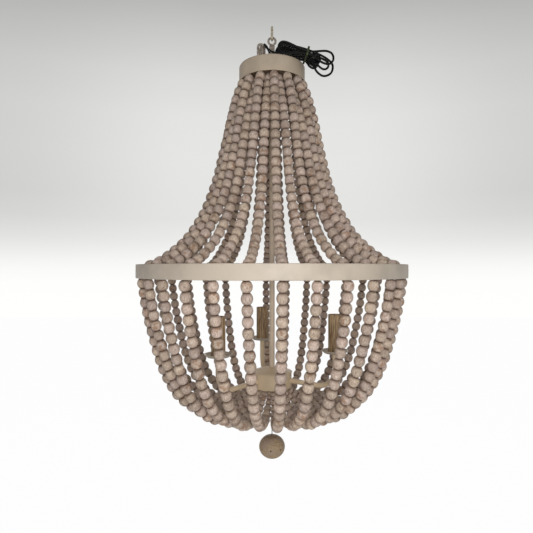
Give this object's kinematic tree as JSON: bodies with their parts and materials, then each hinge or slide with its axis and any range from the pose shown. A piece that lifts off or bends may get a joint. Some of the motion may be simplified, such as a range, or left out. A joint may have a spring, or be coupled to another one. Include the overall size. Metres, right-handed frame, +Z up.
{
  "type": "beaded chandelier",
  "caption": "Hanging chandelier of wooden bead strands swagged from a crown over a wide ring and in to a hub with candle arms and a ball finial.",
  "frame": {"origin": "inside top of the hanging link, where the fixture is hung", "axes": "+Z up along the stem, -Y towards the picture's camera, +X to its right"},
  "size_m": [0.508, 0.508, 0.8368],
  "materials": {
    "cream_paint": "cream paint with a warm grey wash, matt",
    "bead_wood": "whitewashed greyish wood, matt, with fine grain and darker rims round the bores",
    "dark_wood": "olive brown stained wood, satin, with dark specks",
    "sleeve_wood": "brown distressed wood tone, matt",
    "worn_metal": "steel with a worn greige coat",
    "ivory_plastic": "ivory, matt",
    "black_plastic": "black, satin",
    "tie_plastic": "dark green, matt"
  },
  "bodies": {
    "link": {"hanging_link": "worn_metal"},
    "fixture": {"hanging_loop": "worn_metal", "lock_nut": "worn_metal", "centre_stem": "cream_paint", "crown_pan": "cream_paint", "crown_strand_plate": "cream_paint", "mid_ring": "cream_paint", "ring_spider": "cream_paint", "hub_cup": "cream_paint", "hub_cover": "cream_paint", "bead_strand_01": "bead_wood", "bead_strand_02": "bead_wood", "bead_strand_03": "bead_wood", "bead_strand_04": "bead_wood", "bead_strand_05": "bead_wood", "bead_strand_06": "bead_wood", "bead_strand_07": "bead_wood", "bead_strand_08": "bead_wood", "bead_strand_09": "bead_wood", "bead_strand_10": "bead_wood", "bead_strand_11": "bead_wood", "bead_strand_12": "bead_wood", "bead_strand_13": "bead_wood", "bead_strand_14": "bead_wood", "bead_strand_15": "bead_wood", "bead_strand_16": "bead_wood", "bead_strand_17": "bead_wood", "bead_strand_18": "bead_wood", "bead_strand_19": "bead_wood", "bead_strand_20": "bead_wood", "bead_strand_21": "bead_wood", "bead_strand_22": "bead_wood", "bead_strand_23": "bead_wood", "bead_strand_24": "bead_wood", "bead_strand_25": "bead_wood", "bead_strand_26": "bead_wood", "bead_strand_27": "bead_wood", "bead_strand_28": "bead_wood", "bead_strand_29": "bead_wood", "bead_strand_30": "bead_wood", "candle_arm_1": "cream_paint", "candle_arm_2": "cream_paint", "candle_arm_3": "cream_paint", "drip_dish_1": "cream_paint", "drip_dish_2": "cream_paint", "drip_dish_3": "cream_paint", "lamp_socket_1": "ivory_plastic", "lamp_socket_2": "ivory_plastic", "lamp_socket_3": "ivory_plastic", "spare_link_1": "worn_metal", "spare_link_2": "worn_metal", "cord_bush": "black_plastic", "supply_cord": "black_plastic", "cord_hank": "black_plastic", "cord_tie": "tie_plastic"},
    "sleeve_1": {"candle_sleeve_1": "sleeve_wood"},
    "sleeve_2": {"candle_sleeve_2": "sleeve_wood"},
    "sleeve_3": {"candle_sleeve_3": "sleeve_wood"},
    "finial": {"finial_wire": "worn_metal", "finial_ball": "dark_wood"}
  },
  "joints": [
    {"name": "fixture_swing", "type": "hinge", "parent": "link", "child": "fixture", "pos_m": [0, 0, -0.02175], "axis": [0, 1, 0], "range_deg": [-20, 20]},
    {"name": "sleeve_lift_1", "type": "slide", "parent": "fixture", "child": "sleeve_1", "axis": [0, 0, 1], "range_m": [0, 0.08]},
    {"name": "sleeve_lift_2", "type": "slide", "parent": "fixture", "child": "sleeve_2", "axis": [0, 0, 1], "range_m": [0, 0.08]},
    {"name": "sleeve_lift_3", "type": "slide", "parent": "fixture", "child": "sleeve_3", "axis": [0, 0, 1], "range_m": [0, 0.08]},
    {"name": "finial_swing", "type": "hinge", "parent": "fixture", "child": "finial", "pos_m": [0, 0, -0.6992], "axis": [1, 0, 0], "range_deg": [-25, 25]}
  ]
}
